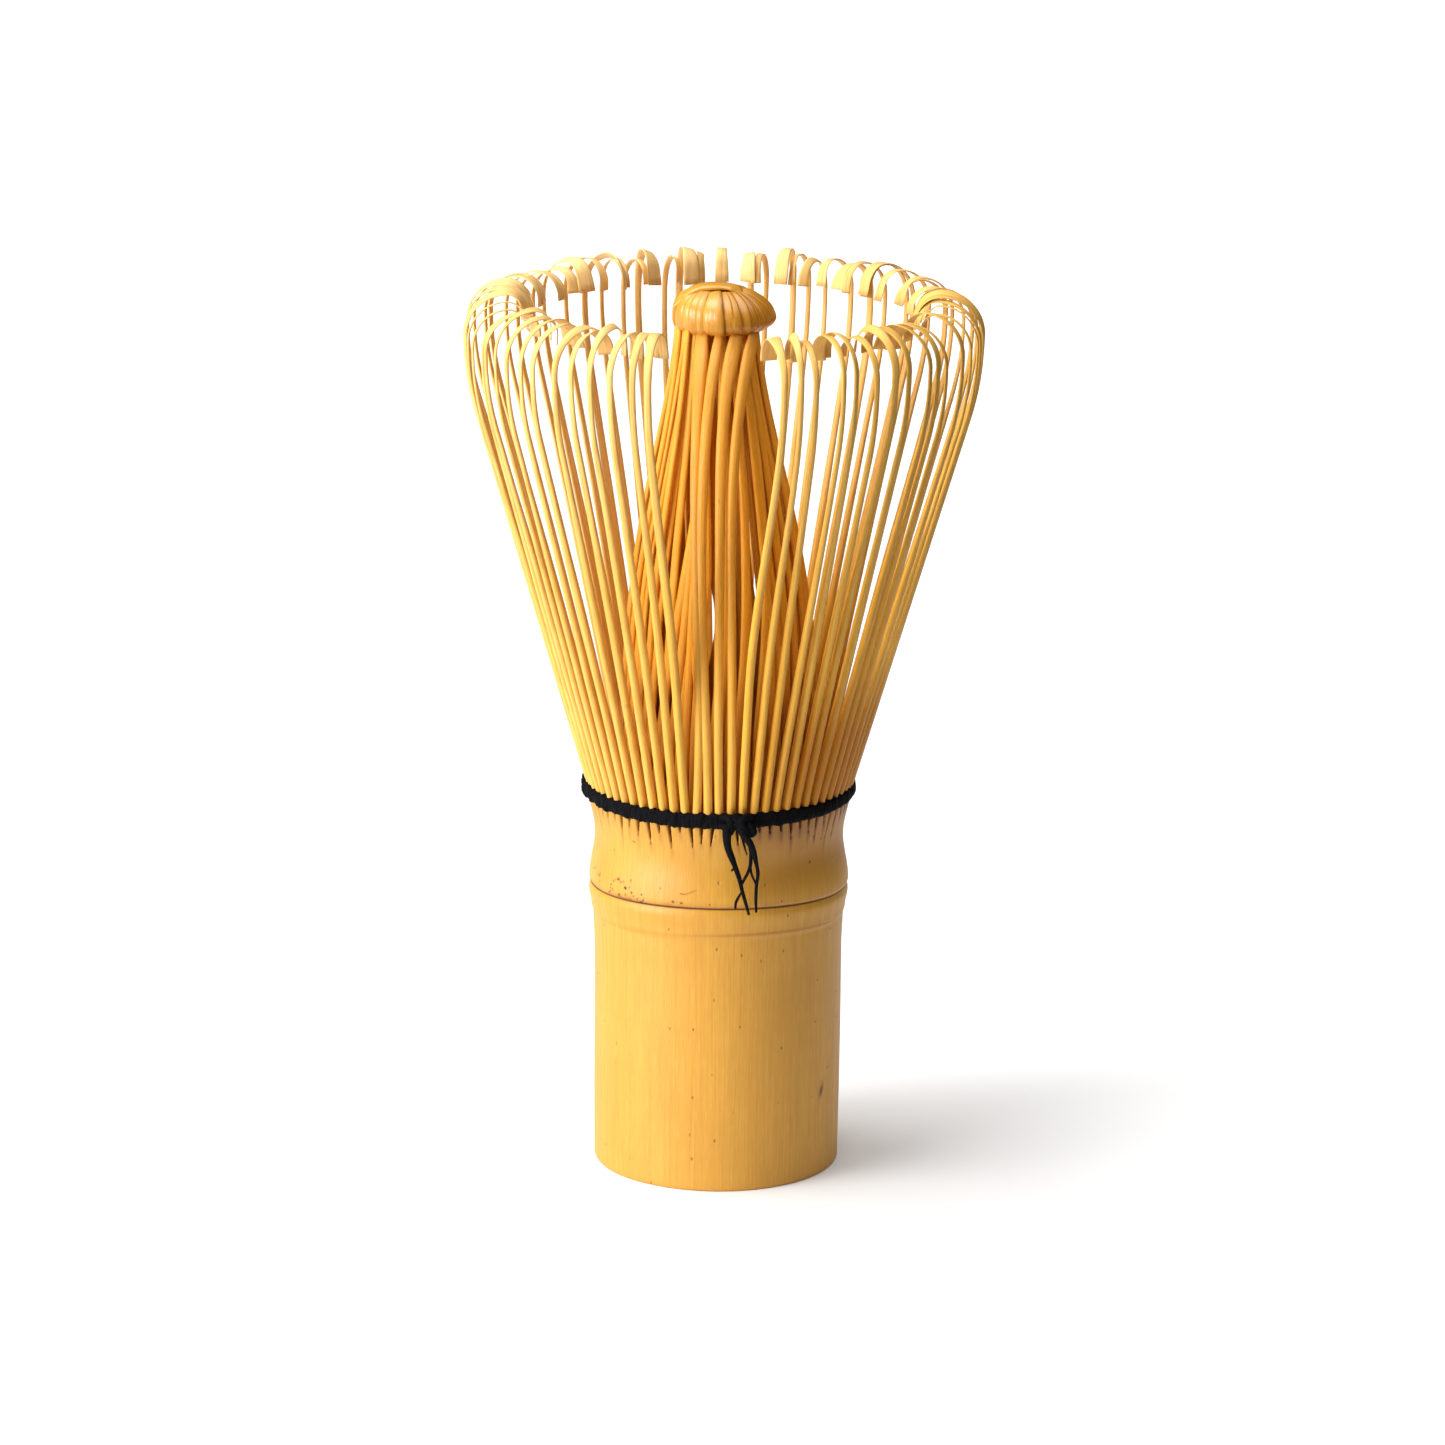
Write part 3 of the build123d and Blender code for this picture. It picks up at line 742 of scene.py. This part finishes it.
def gathered_tine(form, place, end_width, bow):
    """One gathered tine: it leans out, bows back in, widens, and its rounded end tucks in under the knob."""
    bearing = place * TINE_PITCH
    root = polar(GATHERED_ROOT_RADIUS, bearing, 0.0)
    end_x = place * GATHERED_END_PITCH + GATHERED_END_OFFSET
    end = np.array([end_x, -sqrt(GATHERED_END_RADIUS**2 - end_x**2), 0.0])
    outward = root - end
    distance = np.linalg.norm(outward)
    lean = radians(GATHERED_LEAN)
    travel = distance + GATHERED_RUN * sin(lean)
    rise = KNOB_LOW - ROOT_HEIGHT - GATHERED_RUN * cos(lean)
    half_turn = atan2(travel, rise) + lean
    bend = hypot(travel, rise) / (2 * sin(half_turn))
    straight = np.linspace(-0.35, GATHERED_RUN, 7)
    turned = lean - np.linspace(0, 2 * half_turn, 34)[1:]
    bent_out = GATHERED_RUN * sin(lean) + bend * (np.cos(turned) - cos(lean))
    bent_up = GATHERED_RUN * cos(lean) + bend * (sin(lean) - np.sin(turned))
    out = np.concatenate([straight * sin(lean), bent_out])
    up = np.concatenate([straight * cos(lean), bent_up])
    out = np.append(out, out[-1] - 0.35)
    up = np.append(up, up[-1] + 0.95)
    t = np.linspace(0, 1, len(out))
    path = root + out[:, None] * outward / distance + (ROOT_HEIGHT + up)[:, None] * UP
    end_bearing = degrees(atan2(end[0], -end[1]))
    facing = bearing + (end_bearing - bearing) * smooth(t) + random.gauss(0, 5) * np.sin(pi * t)
    side = polar(1.0, facing + 90, 0.0)
    drift = random.gauss(0, 0.25) * np.sin(2 * pi * t) + random.gauss(0, 0.35) * np.sin(pi * t) ** 2
    path = path + drift[:, None] * side
    path[:, 0] -= bow * np.sin(pi * t**3)
    width = between(t, [(0, 1.06), (0.5, 1.12), (0.8, 1.3), (0.95, end_width), (1, 0.8 * end_width)])
    thickness = between(t, [(0, 0.95), (0.6, 0.8), (0.9, 0.75), (1, 0.4)])
    tone = -0.9 * smooth(1.8 * t - 0.3)
    sweep(form, path, side, width, thickness, random.uniform(0, 100), tone)


def gathered_piece():
    """The four front tines that end under the knob."""
    random.seed(GATHERED_SEED)
    form = Form()
    for place, end_width, bow in zip(GATHERED_PLACES, GATHERED_WIDTHS, GATHERED_BOWS):
        gathered_tine(form, place, end_width, bow)
    piece = form.piece("gathered_tines_strips", GATHERED_BAMBOO)
    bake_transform(piece)
    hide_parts("gathered_tines")


# ---------------------------------------------------------------- inner tines and knob

# The inner cone's radius at heights up its bow.
INNER_PROFILE = [
    (46, 12.35), (63, 11.5), (69, 10.95), (75, 10.1), (81, 9.0), (87, 7.7), (93, 6.35), (101, 5.1),
]
NECK_RADIUS_TOP = 4.9
NECK_SHIFT = -0.85
SWIRL = 7

# The slit between the front tines: its place across, its half width, its height and its reach up and down.
PARTING = -1.4
PARTING_HALF = 1.35
PARTING_HEIGHT = 64
PARTING_REACH = 6.5

# An inner tine's width, thickness and tone, at shares of its length. The tone's low end is painted shade deep
# in the ring; it rises to the tip colour towards the knob.
INNER_WIDTHS = [(0, 0.88), (0.2, 1.1), (0.5, 1.1), (0.75, 0.95), (1, 0.84)]
INNER_THICKNESSES = [(0, 0.6), (0.6, 0.52), (1, 0.45)]
INNER_TONES = [(0, -1), (0.14, -1), (0.34, -0.15), (0.6, 0.15), (1, 1)]


def cone_radius(z):
    """The inner cone's outer radius at even heights, with its profile's corners smoothed."""
    heights, radii = zip(*INNER_PROFILE)
    r = np.interp(z, heights, radii, right=NECK_RADIUS_TOP)
    return np.convolve(np.pad(r, 2, mode="edge"), np.ones(5) / 5, mode="valid")


def inner_tine(form, number):
    """One inner tine: it bows in, wanders across its neighbours, and crowds to one side under the knob."""
    bearing = number * TINE_PITCH + random.gauss(0, 0.5)
    a = radians(bearing)
    z = np.linspace(COLLAR_TOP - 0.1, KNOB_LOW + 1.2, 34)
    t = (z - z[0]) / (z[-1] - z[0])
    layer = 0.8 * (number % 2)
    depth = (layer + random.uniform(-0.1, 0.35)) * smooth(t / 0.75) * (1 - 0.4 * smooth(t * 3 - 2))
    r = cone_radius(z) - 0.25 - depth
    drift = [4 * noise.noise(Vector((1.7 * sin(a), 1.7 * cos(a), 2.2 * f + 4.0))) for f in t]
    wander = 6 + 9 * smooth(-sin(a) / 0.7)
    bearings = bearing + smooth(t) * (SWIRL + random.gauss(0, wander)) + smooth(t / 0.5) * np.array(drift)
    bearings = bearings + random.gauss(0, 4) * np.sin(pi * t**2)
    path = polar(r, bearings, z)
    if abs(cos(a)) > 0.7:
        away = 1 if path[len(z) // 4, 0] > PARTING else -1
        edge = PARTING_HALF * bell((z - PARTING_HEIGHT) / PARTING_REACH)
        path[:, 0] = PARTING + away * np.maximum(away * (path[:, 0] - PARTING), edge)
    path[:, 0] += NECK_SHIFT * smooth(t) ** 1.5
    side = polar(1.0, bearings + 90, 0.0)
    twist = np.radians(random.gauss(0, 10)) * smooth(t)
    side = np.cos(twist)[:, None] * side + np.sin(twist)[:, None] * polar(1.0, bearings, 0.0)
    width = between(t, INNER_WIDTHS) * random.uniform(0.88, 1.12) * (1 + 0.3 * smooth(-cos(a) / 0.5))
    # Painted shade: dark at the root, down in the ring, and a little darker on the right, the shaded side.
    tone = between(t, INNER_TONES) * random.uniform(0.4, 1.0) - 0.2 * smooth((sin(a) - 0.2) / 0.6)
    sweep(form, path, side, width, between(t, INNER_THICKNESSES), random.uniform(0, 100), tone)


def inner_pieces():
    """The inner cone, one piece for each group of tines."""
    random.seed(INNER_SEED)
    per_group = TINE_COUNT // len(INNER_GROUPS)
    for index, node in enumerate(INNER_GROUPS):
        form = Form()
        for number in range(index * per_group, (index + 1) * per_group):
            inner_tine(form, number)
        piece = form.piece(node + "_strips", INNER_BAMBOO)
        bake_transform(piece)
        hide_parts(node)


KNOB_WIDE = KNOB_RADIUS - 0.33
KNOB_RISE = 3.65
KNOB_FALL = 1.85
KNOB_MIDDLE = KNOB_HIGH - 0.3 - KNOB_RISE
KNOB_FULLNESS = 0.87
KNOB_SLOPE = 0.2

# The knob's ribbons, from below and over into the crease on its top: bearing, width, and where in the
# crease each goes in. The front ones are listed one by one; the fan on the right and the back are even.
FRONT_RIBBONS = [
    (-77, 1.2, -2.9), (-63, 1.35, -2.7), (-50, 1.4, -2.4), (-37.5, 1.4, -2.0), (-27.5, 1.1, -1.6),
    (-12, 2.6, -1.1), (6.5, 1.35, -0.4), (15, 1.25, 0.0), (26, 1.6, 0.4), (36, 1.3, 0.7),
]
FAN_RIBBONS = [(43 + 5 * i, 0.66, 1.0 + 0.055 * i) for i in range(18)]
BACK_RIBBONS = [(136 + 11.5 * i, 1.4, 1.6 - 0.4 * i) for i in range(12)]
CREASE_Y = -1.45
TOP_RIBBON = [(-3.9, -0.9), (-2.4, -0.35), (-0.7, -0.3), (0.9, -0.65), (2.1, -1.45)]


def fullness(x, flat):
    """The knob's roundness round its axis: boxy on its left side, and sloping on its right."""
    return KNOB_FULLNESS + KNOB_SLOPE * x / flat


def knob_point(direction, lift):
    """Points on the knob, a domed ball, from directions on a unit sphere and a lift off it."""
    flat = np.maximum(np.hypot(direction[:, 0], direction[:, 1]), 1e-6)
    power = fullness(direction[:, 0], flat)
    level = np.abs(direction[:, 2]) ** power * np.where(direction[:, 2] > 0, KNOB_RISE, -KNOB_FALL)
    stretch = (KNOB_WIDE + lift) * flat ** (power - 1)
    x, y = direction[:, 0] * stretch, direction[:, 1] * stretch
    return np.stack([x, y, KNOB_MIDDLE + level + lift * direction[:, 2]], -1)


def ball_direction(bearing, level):
    """Directions on a unit sphere from bearings and levels over its middle, in degrees."""
    level = np.radians(level)
    return polar(np.cos(level), bearing, np.sin(level))


def top_direction(x, y):
    """The direction on the unit sphere of a point of the knob's top, seen from above."""
    away = sqrt(x * x + y * y)
    flat = (away / KNOB_WIDE) ** (1 / fullness(x, away))
    return Vector((x * flat / away, y * flat / away, sqrt(max(1 - flat * flat, 0.0))))


def ribbon_strip(form, direction, lift, width, thickness, tone, tilt):
    """A strip laid on the knob along unit directions, tilted like a scale against its neighbours."""
    direction = unit(direction)
    path = knob_point(direction, lift)
    outward = unit(direction * np.array([1 / KNOB_WIDE, 1 / KNOB_WIDE, 1 / KNOB_RISE]))
    side = np.cross(unit(np.gradient(path, axis=0)), outward)
    side = side * cos(radians(tilt)) + outward * sin(radians(tilt))
    sweep(form, path, side, width, thickness, random.uniform(0, 100), tone, FLAT_SECTION)


def knob_ribbon(form, bearing, width, tuck_x):
    """One ribbon: out from under the knob, up its side, and over into the crease."""
    a = radians(bearing)
    rise = ball_direction(bearing, np.linspace(-62, 0, 10))
    start = Vector((sin(a), -cos(a), 0))
    tuck = top_direction(tuck_x, CREASE_Y + 0.1 * abs(tuck_x))
    over = [start.slerp(tuck, step / 20) for step in range(1, 21)]
    direction = np.concatenate([rise, np.array([list(p) for p in over])])
    t = np.linspace(0, 1, len(direction))
    dip = 0.5 * smooth((t - 0.86) / 0.14)
    lift = random.uniform(-0.1, 0.1) - dip - 0.4 * (1 - smooth(t / 0.15))
    width = between(t, [(0, 0.75), (0.33, 1.0), (0.6, 0.9), (1, 0.5)]) * width
    thickness = between(t, [(0, 0.6), (0.35, 1.0), (0.9, 0.7), (1, 0.5)]) * (0.25 + 0.12 * np.max(width))
    # Painted shade: each ribbon darkens underneath and where it goes into the crease, towards the dark tip
    # colour, and on the knob's right, the shaded side, towards the colour for tone -1.
    side = 0.45 * smooth((sin(a) + 0.1) / 0.5) * (cos(a) > -0.5)
    tone = between(t, [(0, 0.35), (0.14, -side), (0.86, -side), (1, 1.0)])
    ribbon_strip(form, direction, lift, width, thickness, tone, random.gauss(-8 if bearing < -20 else 5, 4))


def top_ribbon(form):
    """The wide ribbon that comes up the left side and lies across the top, its front edge over the crease."""
    rise = ball_direction(-88, np.linspace(-45, 20, 10))
    over = [list(top_direction(x, y)) for x, y in curve_through(TOP_RIBBON, 20)]
    direction = np.concatenate([rise, np.array(over)])
    t = np.linspace(0, 1, len(direction))
    lift = 0.12 - 0.45 * smooth((t - 0.82) / 0.18) - 0.4 * (1 - smooth(t / 0.15))
    width = between(t, [(0, 1.4), (0.35, 2.6), (0.6, 3.3), (0.85, 2.4), (1, 0.9)])
    thickness = between(t, [(0, 0.4), (0.5, 0.6), (1, 0.3)])
    ribbon_strip(form, direction, lift, width, thickness, 0.0, 0)


BALL_SIDES = 48
BALL_LEVELS = 26
BALL_SINK = -0.42
# The ball's tone, near the dark tip colour: painted shade between the ribbons.
BALL_SHADE = 0.85


def core_ball(form):
    """The ball under the ribbons, coloured as painted shade where it shows between them."""
    turns = np.arange(BALL_SIDES) * 360 / BALL_SIDES
    directions = ball_direction(turns[:, None], np.linspace(-80, 89, BALL_LEVELS)[None])
    points = knob_point(directions.reshape(-1, 3), BALL_SINK)
    columns = [range(i * BALL_LEVELS, (i + 1) * BALL_LEVELS) for i in range(BALL_SIDES)]
    faces = []
    for here, there in zip(columns, columns[1:] + columns[:1]):
        faces += [[here[j], there[j], there[j + 1], here[j + 1]] for j in range(BALL_LEVELS - 1)]
    faces += [[column[0] for column in columns[::-1]], [column[-1] for column in columns]]
    form.add(points, faces, points, BALL_SHADE)


def knob_piece():
    """The knob: ribbons over a ball coloured as painted shade."""
    random.seed(KNOB_SEED)
    form = Form()
    for bearing, width, tuck_x in FRONT_RIBBONS + FAN_RIBBONS + BACK_RIBBONS:
        knob_ribbon(form, bearing, width, tuck_x)
    top_ribbon(form)
    core_ball(form)
    piece = form.piece("tip_knob_ribbons", KNOB_BAMBOO)
    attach(piece, "inner_bundle")
    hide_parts("tip_knob")


# ---------------------------------------------------------------- thread

BAND_RADIUS = 15.98
BAND_HALF_THICK = 0.4
BAND_HALF_TALL = 0.9
BRAID_TURNS = 30
BRAID_RADIUS = 13.7
BRAID_HEIGHT = 45.75


def braid(form, radius, height, half_height, plait, ply, turns, seed):
    """A three-ply braid laid round the whisk as a ring."""
    bearings = np.linspace(0, 360, 1081)[:-1]
    for strand in range(3):
        phase = np.radians(bearings) * turns + strand * 2 * pi / 3
        z = height + half_height * np.sin(phase)
        r = radius + plait * np.sin(2 * phase)
        wobble = roughened(bearings, np.full_like(bearings, strand * 5.0), 0.12, 9.0, seed)
        path = polar(r + wobble * 0.5, bearings, z + wobble)
        closed_sweep(form, path, ply * (1 + 1.2 * wobble), seed + strand)


def closed_sweep(form, path, radius, seed):
    """A round cord along a closed path."""
    n = len(path)
    ahead = unit(np.roll(path, -1, 0) - np.roll(path, 1, 0))
    side = unit(np.cross(ahead, UP))
    top = np.cross(side, ahead)
    k = len(ROUND_SECTION)
    u, v = np.array(ROUND_SECTION).T
    radius = np.broadcast_to(radius, n)[:, None, None]
    around = side[:, None] * u[None, :, None] + top[:, None] * v[None, :, None]
    rings = path[:, None] + radius * around
    faces = []
    for i in range(n):
        j = (i + 1) % n
        for a in range(k):
            b = (a + 1) % k
            faces.append([i * k + a, i * k + b, j * k + b, j * k + a])
    grain = np.zeros((n, k, 3))
    grain[..., 0] = np.arange(k)[None] * 0.25
    grain[..., 1] = np.cumsum(np.linalg.norm(np.diff(path, axis=0, append=path[:1]), axis=1))[:, None]
    grain[..., 2] = seed
    form.add(rings.reshape(-1, 3), faces, grain.reshape(-1, 3), 0.0)


def band_piece():
    """The band: several turns of thread felted into one lumpy tape, pushed up a little between the tines."""
    middle = (BAND_LOW + BAND_HIGH) / 2
    steps = np.linspace(0, 2 * pi, 25)[:-1]
    out, rise = [np.sign(wave) * np.abs(wave) ** 0.7 for wave in (np.cos(steps), np.sin(steps))]
    loop = np.stack([BAND_RADIUS + BAND_HALF_THICK * out, middle + BAND_HALF_TALL * rise], -1)

    def shape(bearing, r, z):
        a = np.radians(bearing)
        up = (z - middle) / BAND_HALF_TALL
        low = 0.25 * np.abs(np.sin(a)) ** 2 * (up < 0) * -up
        between_tines = 0.07 * (1 - np.cos(a * TINE_COUNT)) / 2 * smooth(up)
        left = (1 - np.sin(a)) / 2
        lumps = roughened(bearing, 8 * z, 0.2, 17.0, 5.0) + roughened(bearing, 22 * z, 0.12, 75.0, 2.0)
        edge = roughened(bearing, 0 * z, 0.22, 14.0, 31.0) + roughened(bearing, 6 * z, 0.12, 60.0, 7.0)
        moved = r + (r > 15.9) * (lumps * (0.6 + 0.8 * left) + 0.22 * (left - 0.5))
        return moved, z + low + between_tines + edge * np.abs(up) * (0.5 + 0.9 * left)

    form = Form()
    revolve(form, loop, TINE_COUNT * 16, shape)
    piece = form.piece("lacing_band_tape", THREAD)
    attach(piece, "handle")
    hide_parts("lacing_band")


def inner_run_piece():
    """The thread's hidden run between the two rings of tines."""
    form = Form()
    braid(form, BRAID_RADIUS, BRAID_HEIGHT, half_height=0.25, plait=0.1, ply=0.3, turns=BRAID_TURNS, seed=43)
    piece = form.piece("lacing_inner_braid", THREAD)
    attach(piece, "handle")
    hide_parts("lacing_inner_run")


def thread(form, points, widths, seed, flat=0.75):
    """A loose length of thread through given points, thinning as widths say."""
    path = curve_through(points, 10 * len(points))
    t = np.linspace(0, 1, len(path))
    width = between(t, list(zip(np.linspace(0, 1, len(widths)), widths)))
    side = np.cross(unit(np.gradient(path, axis=0)), np.array([0.0, -1.0, 0.0]))
    side = unit(side + 0.15 * np.sin(9 * t)[:, None] * np.array([0.0, 1.0, 0.0]))
    sweep(form, path, side, width, width * flat, seed, 0.0, ROUND_SECTION)


KNOT_LOOPS = [
    [(0.1, -16.2, 46.9), (1.1, -16.75, 47.0), (2.2, -16.95, 46.7), (3.0, -16.9, 45.8), (3.7, -16.3, 45.1)],
    [(0.0, -16.2, 45.9), (1.1, -16.8, 45.8), (2.3, -17.1, 46.4), (3.0, -16.9, 47.0), (3.8, -16.1, 47.0)],
    [(0.7, -16.4, 47.2), (1.2, -16.95, 46.8), (1.4, -17.1, 46.0), (1.2, -17.0, 45.3), (0.9, -16.5, 45.1)],
    [(2.0, -16.6, 47.1), (2.5, -17.15, 46.6), (3.0, -17.2, 45.7), (3.4, -17.0, 45.2), (3.6, -16.4, 45.0)],
    [(2.8, -16.5, 46.6), (3.5, -16.9, 46.1), (3.95, -16.9, 45.5), (3.8, -16.7, 45.1), (3.1, -16.6, 45.1)],
]
LEFT_TAIL = [
    (0.9, -17.0, 46.3), (0.9, -17.3, 45.3), (1.05, -17.25, 43.6), (1.75, -17.0, 41.6), (2.4, -16.8, 39.7),
    (2.75, -16.65, 38.2), (3.25, -16.5, 36.4), (3.6, -16.45, 35.1),
]
RIGHT_TAIL = [
    (2.2, -17.0, 46.5), (2.75, -17.4, 45.4), (3.85, -17.35, 43.7), (4.35, -17.1, 41.8), (4.6, -16.9, 40.3),
    (4.45, -16.7, 38.8), (4.4, -16.55, 37.2), (4.45, -16.45, 35.4),
]
CROSSING = [(3.6, -17.25, 43.8), (3.75, -17.1, 42.6), (3.6, -17.0, 40.9), (2.75, -16.75, 39.0)]
RIGHT_SPUR = [(3.7, -17.0, 41.2), (3.9, -16.9, 40.1), (4.4, -16.7, 38.9)]
LEFT_FORK = [(2.75, -16.7, 38.0), (2.35, -16.7, 37.3), (2.05, -16.65, 36.6), (2.0, -16.6, 35.9)]
LEFT_SPUR = [(2.0, -16.95, 41.0), (1.65, -17.0, 40.8), (1.5, -17.0, 40.6)]
LOOSE_PLY = [(2.6, -17.3, 45.2), (2.9, -17.25, 44.0), (3.3, -17.1, 42.6)]

# Each tail's strands, as a route and the widths along it.
TAILS = {
    "thread_tail_left": [
        (LEFT_TAIL, (1.0, 1.05, 0.85, 0.62, 0.5, 0.42, 0.3)), (LEFT_FORK, (0.25, 0.35, 0.3)),
        (LEFT_SPUR, (0.3, 0.25)),
    ],
    "thread_tail_right": [
        (RIGHT_TAIL, (1.0, 0.95, 0.7, 0.45, 0.42, 0.4, 0.3)), (CROSSING, (0.4, 0.45, 0.35)),
        (RIGHT_SPUR, (0.3, 0.25)), (LOOSE_PLY, (0.35, 0.3, 0.15)),
    ],
}


def knot_piece():
    """The knot: short loops of thread over the band."""
    form = Form()
    for index, loop in enumerate(KNOT_LOOPS):
        thread(form, loop, (0.7, 0.95, 1.05, 0.95, 0.7), 60 + index, flat=0.8)
    piece = form.piece("lacing_knot_loops", THREAD)
    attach(piece, "handle")
    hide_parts("lacing_knot")


def tail_pieces():
    """The two hanging ends, which bend at the knot."""
    for node, strands in TAILS.items():
        form = Form()
        for index, (points, widths) in enumerate(strands):
            thread(form, points, widths, 80 + index)
        piece = form.piece(node + "_strands", THREAD)
        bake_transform(piece)
        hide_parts(node)


# ---------------------------------------------------------------- stage

# The camera's place in metres, its roll in degrees, and its lens in millimetres.
CAMERA_DISTANCE = 0.726
CAMERA_HEIGHT = 0.2525
LOOK_HEIGHT = 0.054
CAMERA_ASIDE = 0.00026
CAMERA_ROLL = 0.61
SENSOR_WIDTH = 36
FOCAL_LENGTH = 157.23


def camera():
    """A long lens, a little above the rim, that looks down at the whisk's middle."""
    data = bpy.data.cameras.new("camera")
    data.sensor_width = SENSOR_WIDTH
    data.lens = FOCAL_LENGTH
    obj = bpy.data.objects.new("camera", data)
    bpy.context.scene.collection.objects.link(obj)
    obj.location = (CAMERA_ASIDE, -CAMERA_DISTANCE, CAMERA_HEIGHT)
    aim = Vector((CAMERA_ASIDE, 0, LOOK_HEIGHT)) - obj.location
    turn = aim.to_track_quat("-Z", "Y").to_matrix() @ Matrix.Rotation(radians(CAMERA_ROLL), 3, "Z")
    obj.rotation_euler = turn.to_euler()
    bpy.context.scene.camera = obj


def sun(name, azimuth, elevation, breadth, strength):
    """A broad, even light from far off. Its azimuth is a bearing, and breadth its size in degrees."""
    data = bpy.data.lights.new(name, "SUN")
    data.angle = radians(breadth)
    data.energy = strength
    a, up = radians(azimuth), radians(elevation)
    obj = bpy.data.objects.new(name, data)
    source = Vector((sin(a) * cos(up), -cos(a) * cos(up), sin(up)))
    obj.rotation_euler = source.to_track_quat("Z", "Y").to_euler()
    bpy.context.scene.collection.objects.link(obj)


# The floor, in metres, and the lights: azimuth, elevation, breadth and strength.
FLOOR_CORNERS = [(-0.7, -0.2, 0), (0.14, -0.2, 0), (0.14, 1.3, 0), (-0.7, 1.3, 0)]
SUNS = {"key": (-61, 13, 40, 4.55), "side": (-96, 64, 40, 1.6), "top": (0, 90, 75, 2.4)}


def stage():
    """A white surround that only the camera sees, a pale floor, and three broad lights."""
    world = bpy.data.worlds.new("studio")
    world.use_nodes = True
    background = world.node_tree.nodes["Background"]
    background.inputs["Color"].default_value = rgba(1, 1, 1)
    background.inputs["Strength"].default_value = 1.0
    bpy.context.scene.world = world
    world.cycles_visibility.diffuse = False
    world.cycles_visibility.glossy = False
    mesh = bpy.data.meshes.new("floor")
    mesh.from_pydata(FLOOR_CORNERS, [], [(0, 1, 2, 3)])
    n = Nodes("floor_paper", Roughness=0.9, Specular_IOR_Level=0.1)
    n.shader.inputs["Base Color"].default_value = rgba(0.86, 0.86, 0.86)
    mesh.materials.append(n.material)
    floor = bpy.data.objects.new("floor", mesh)
    bpy.context.scene.collection.objects.link(floor)
    for name, light in SUNS.items():
        sun(name, *light)


camera()
stage()
handle_piece()
collar_piece()
outer_pieces()
gathered_piece()
inner_pieces()
knob_piece()
band_piece()
inner_run_piece()
knot_piece()
tail_pieces()
diaphragm_look()
bpy.context.scene.view_settings.view_transform = "Standard"
